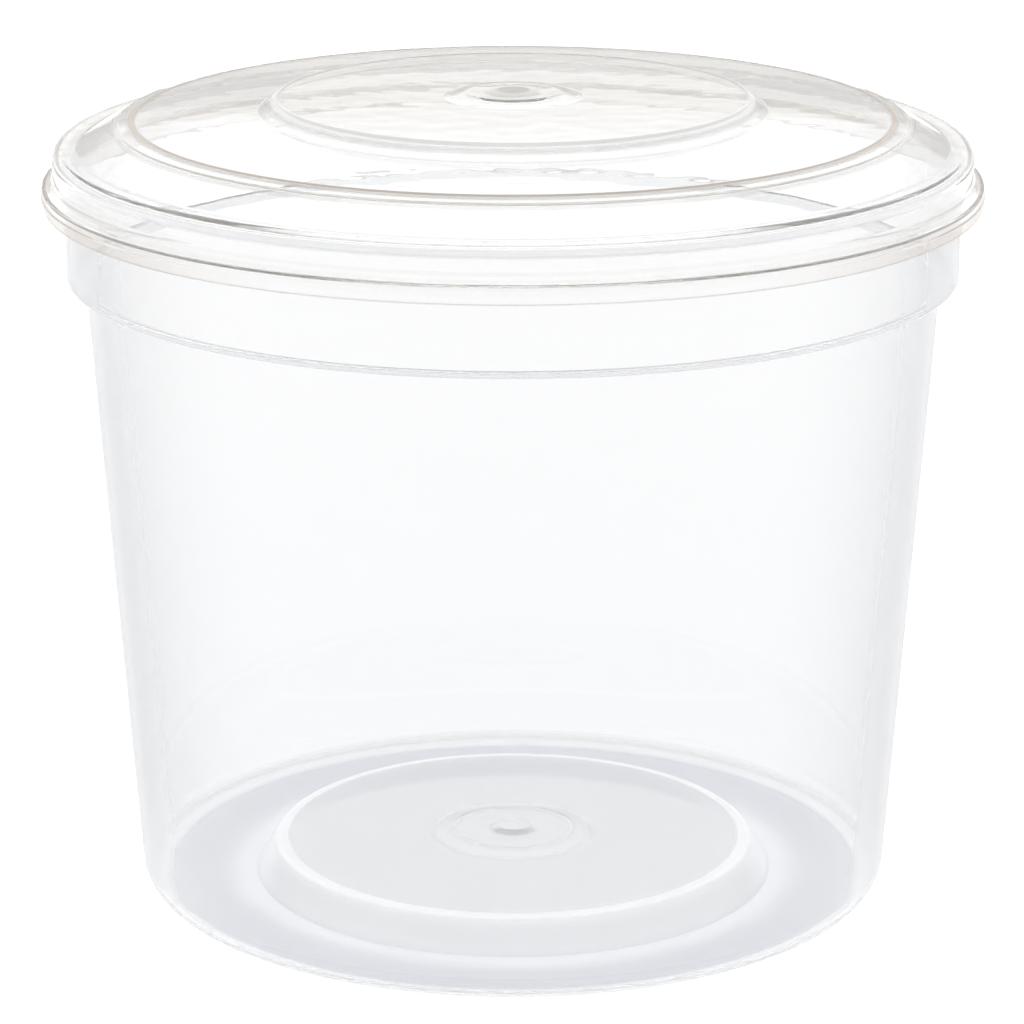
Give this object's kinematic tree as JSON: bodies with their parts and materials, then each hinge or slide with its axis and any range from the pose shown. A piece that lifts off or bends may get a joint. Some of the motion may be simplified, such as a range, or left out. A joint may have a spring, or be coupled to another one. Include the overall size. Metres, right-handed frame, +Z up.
{
  "type": "takeaway soup container",
  "caption": "Round, tapered, see-through plastic soup tub with a raised floor, a stepped collar and a clear press-on lid, shut and empty.",
  "frame": {"origin": "centre of the flat ring that the tub stands on", "axes": "+Z up along the tub's axis, from the floor to the lid"},
  "size_m": [0.118, 0.118, 0.1032],
  "materials": {
    "milky_plastic": "satin, milky and see-through",
    "clear_plastic": "glossy and clear"
  },
  "bodies": {
    "root": {"cup": "milky_plastic", "lid": "clear_plastic"}
  },
  "joints": []
}
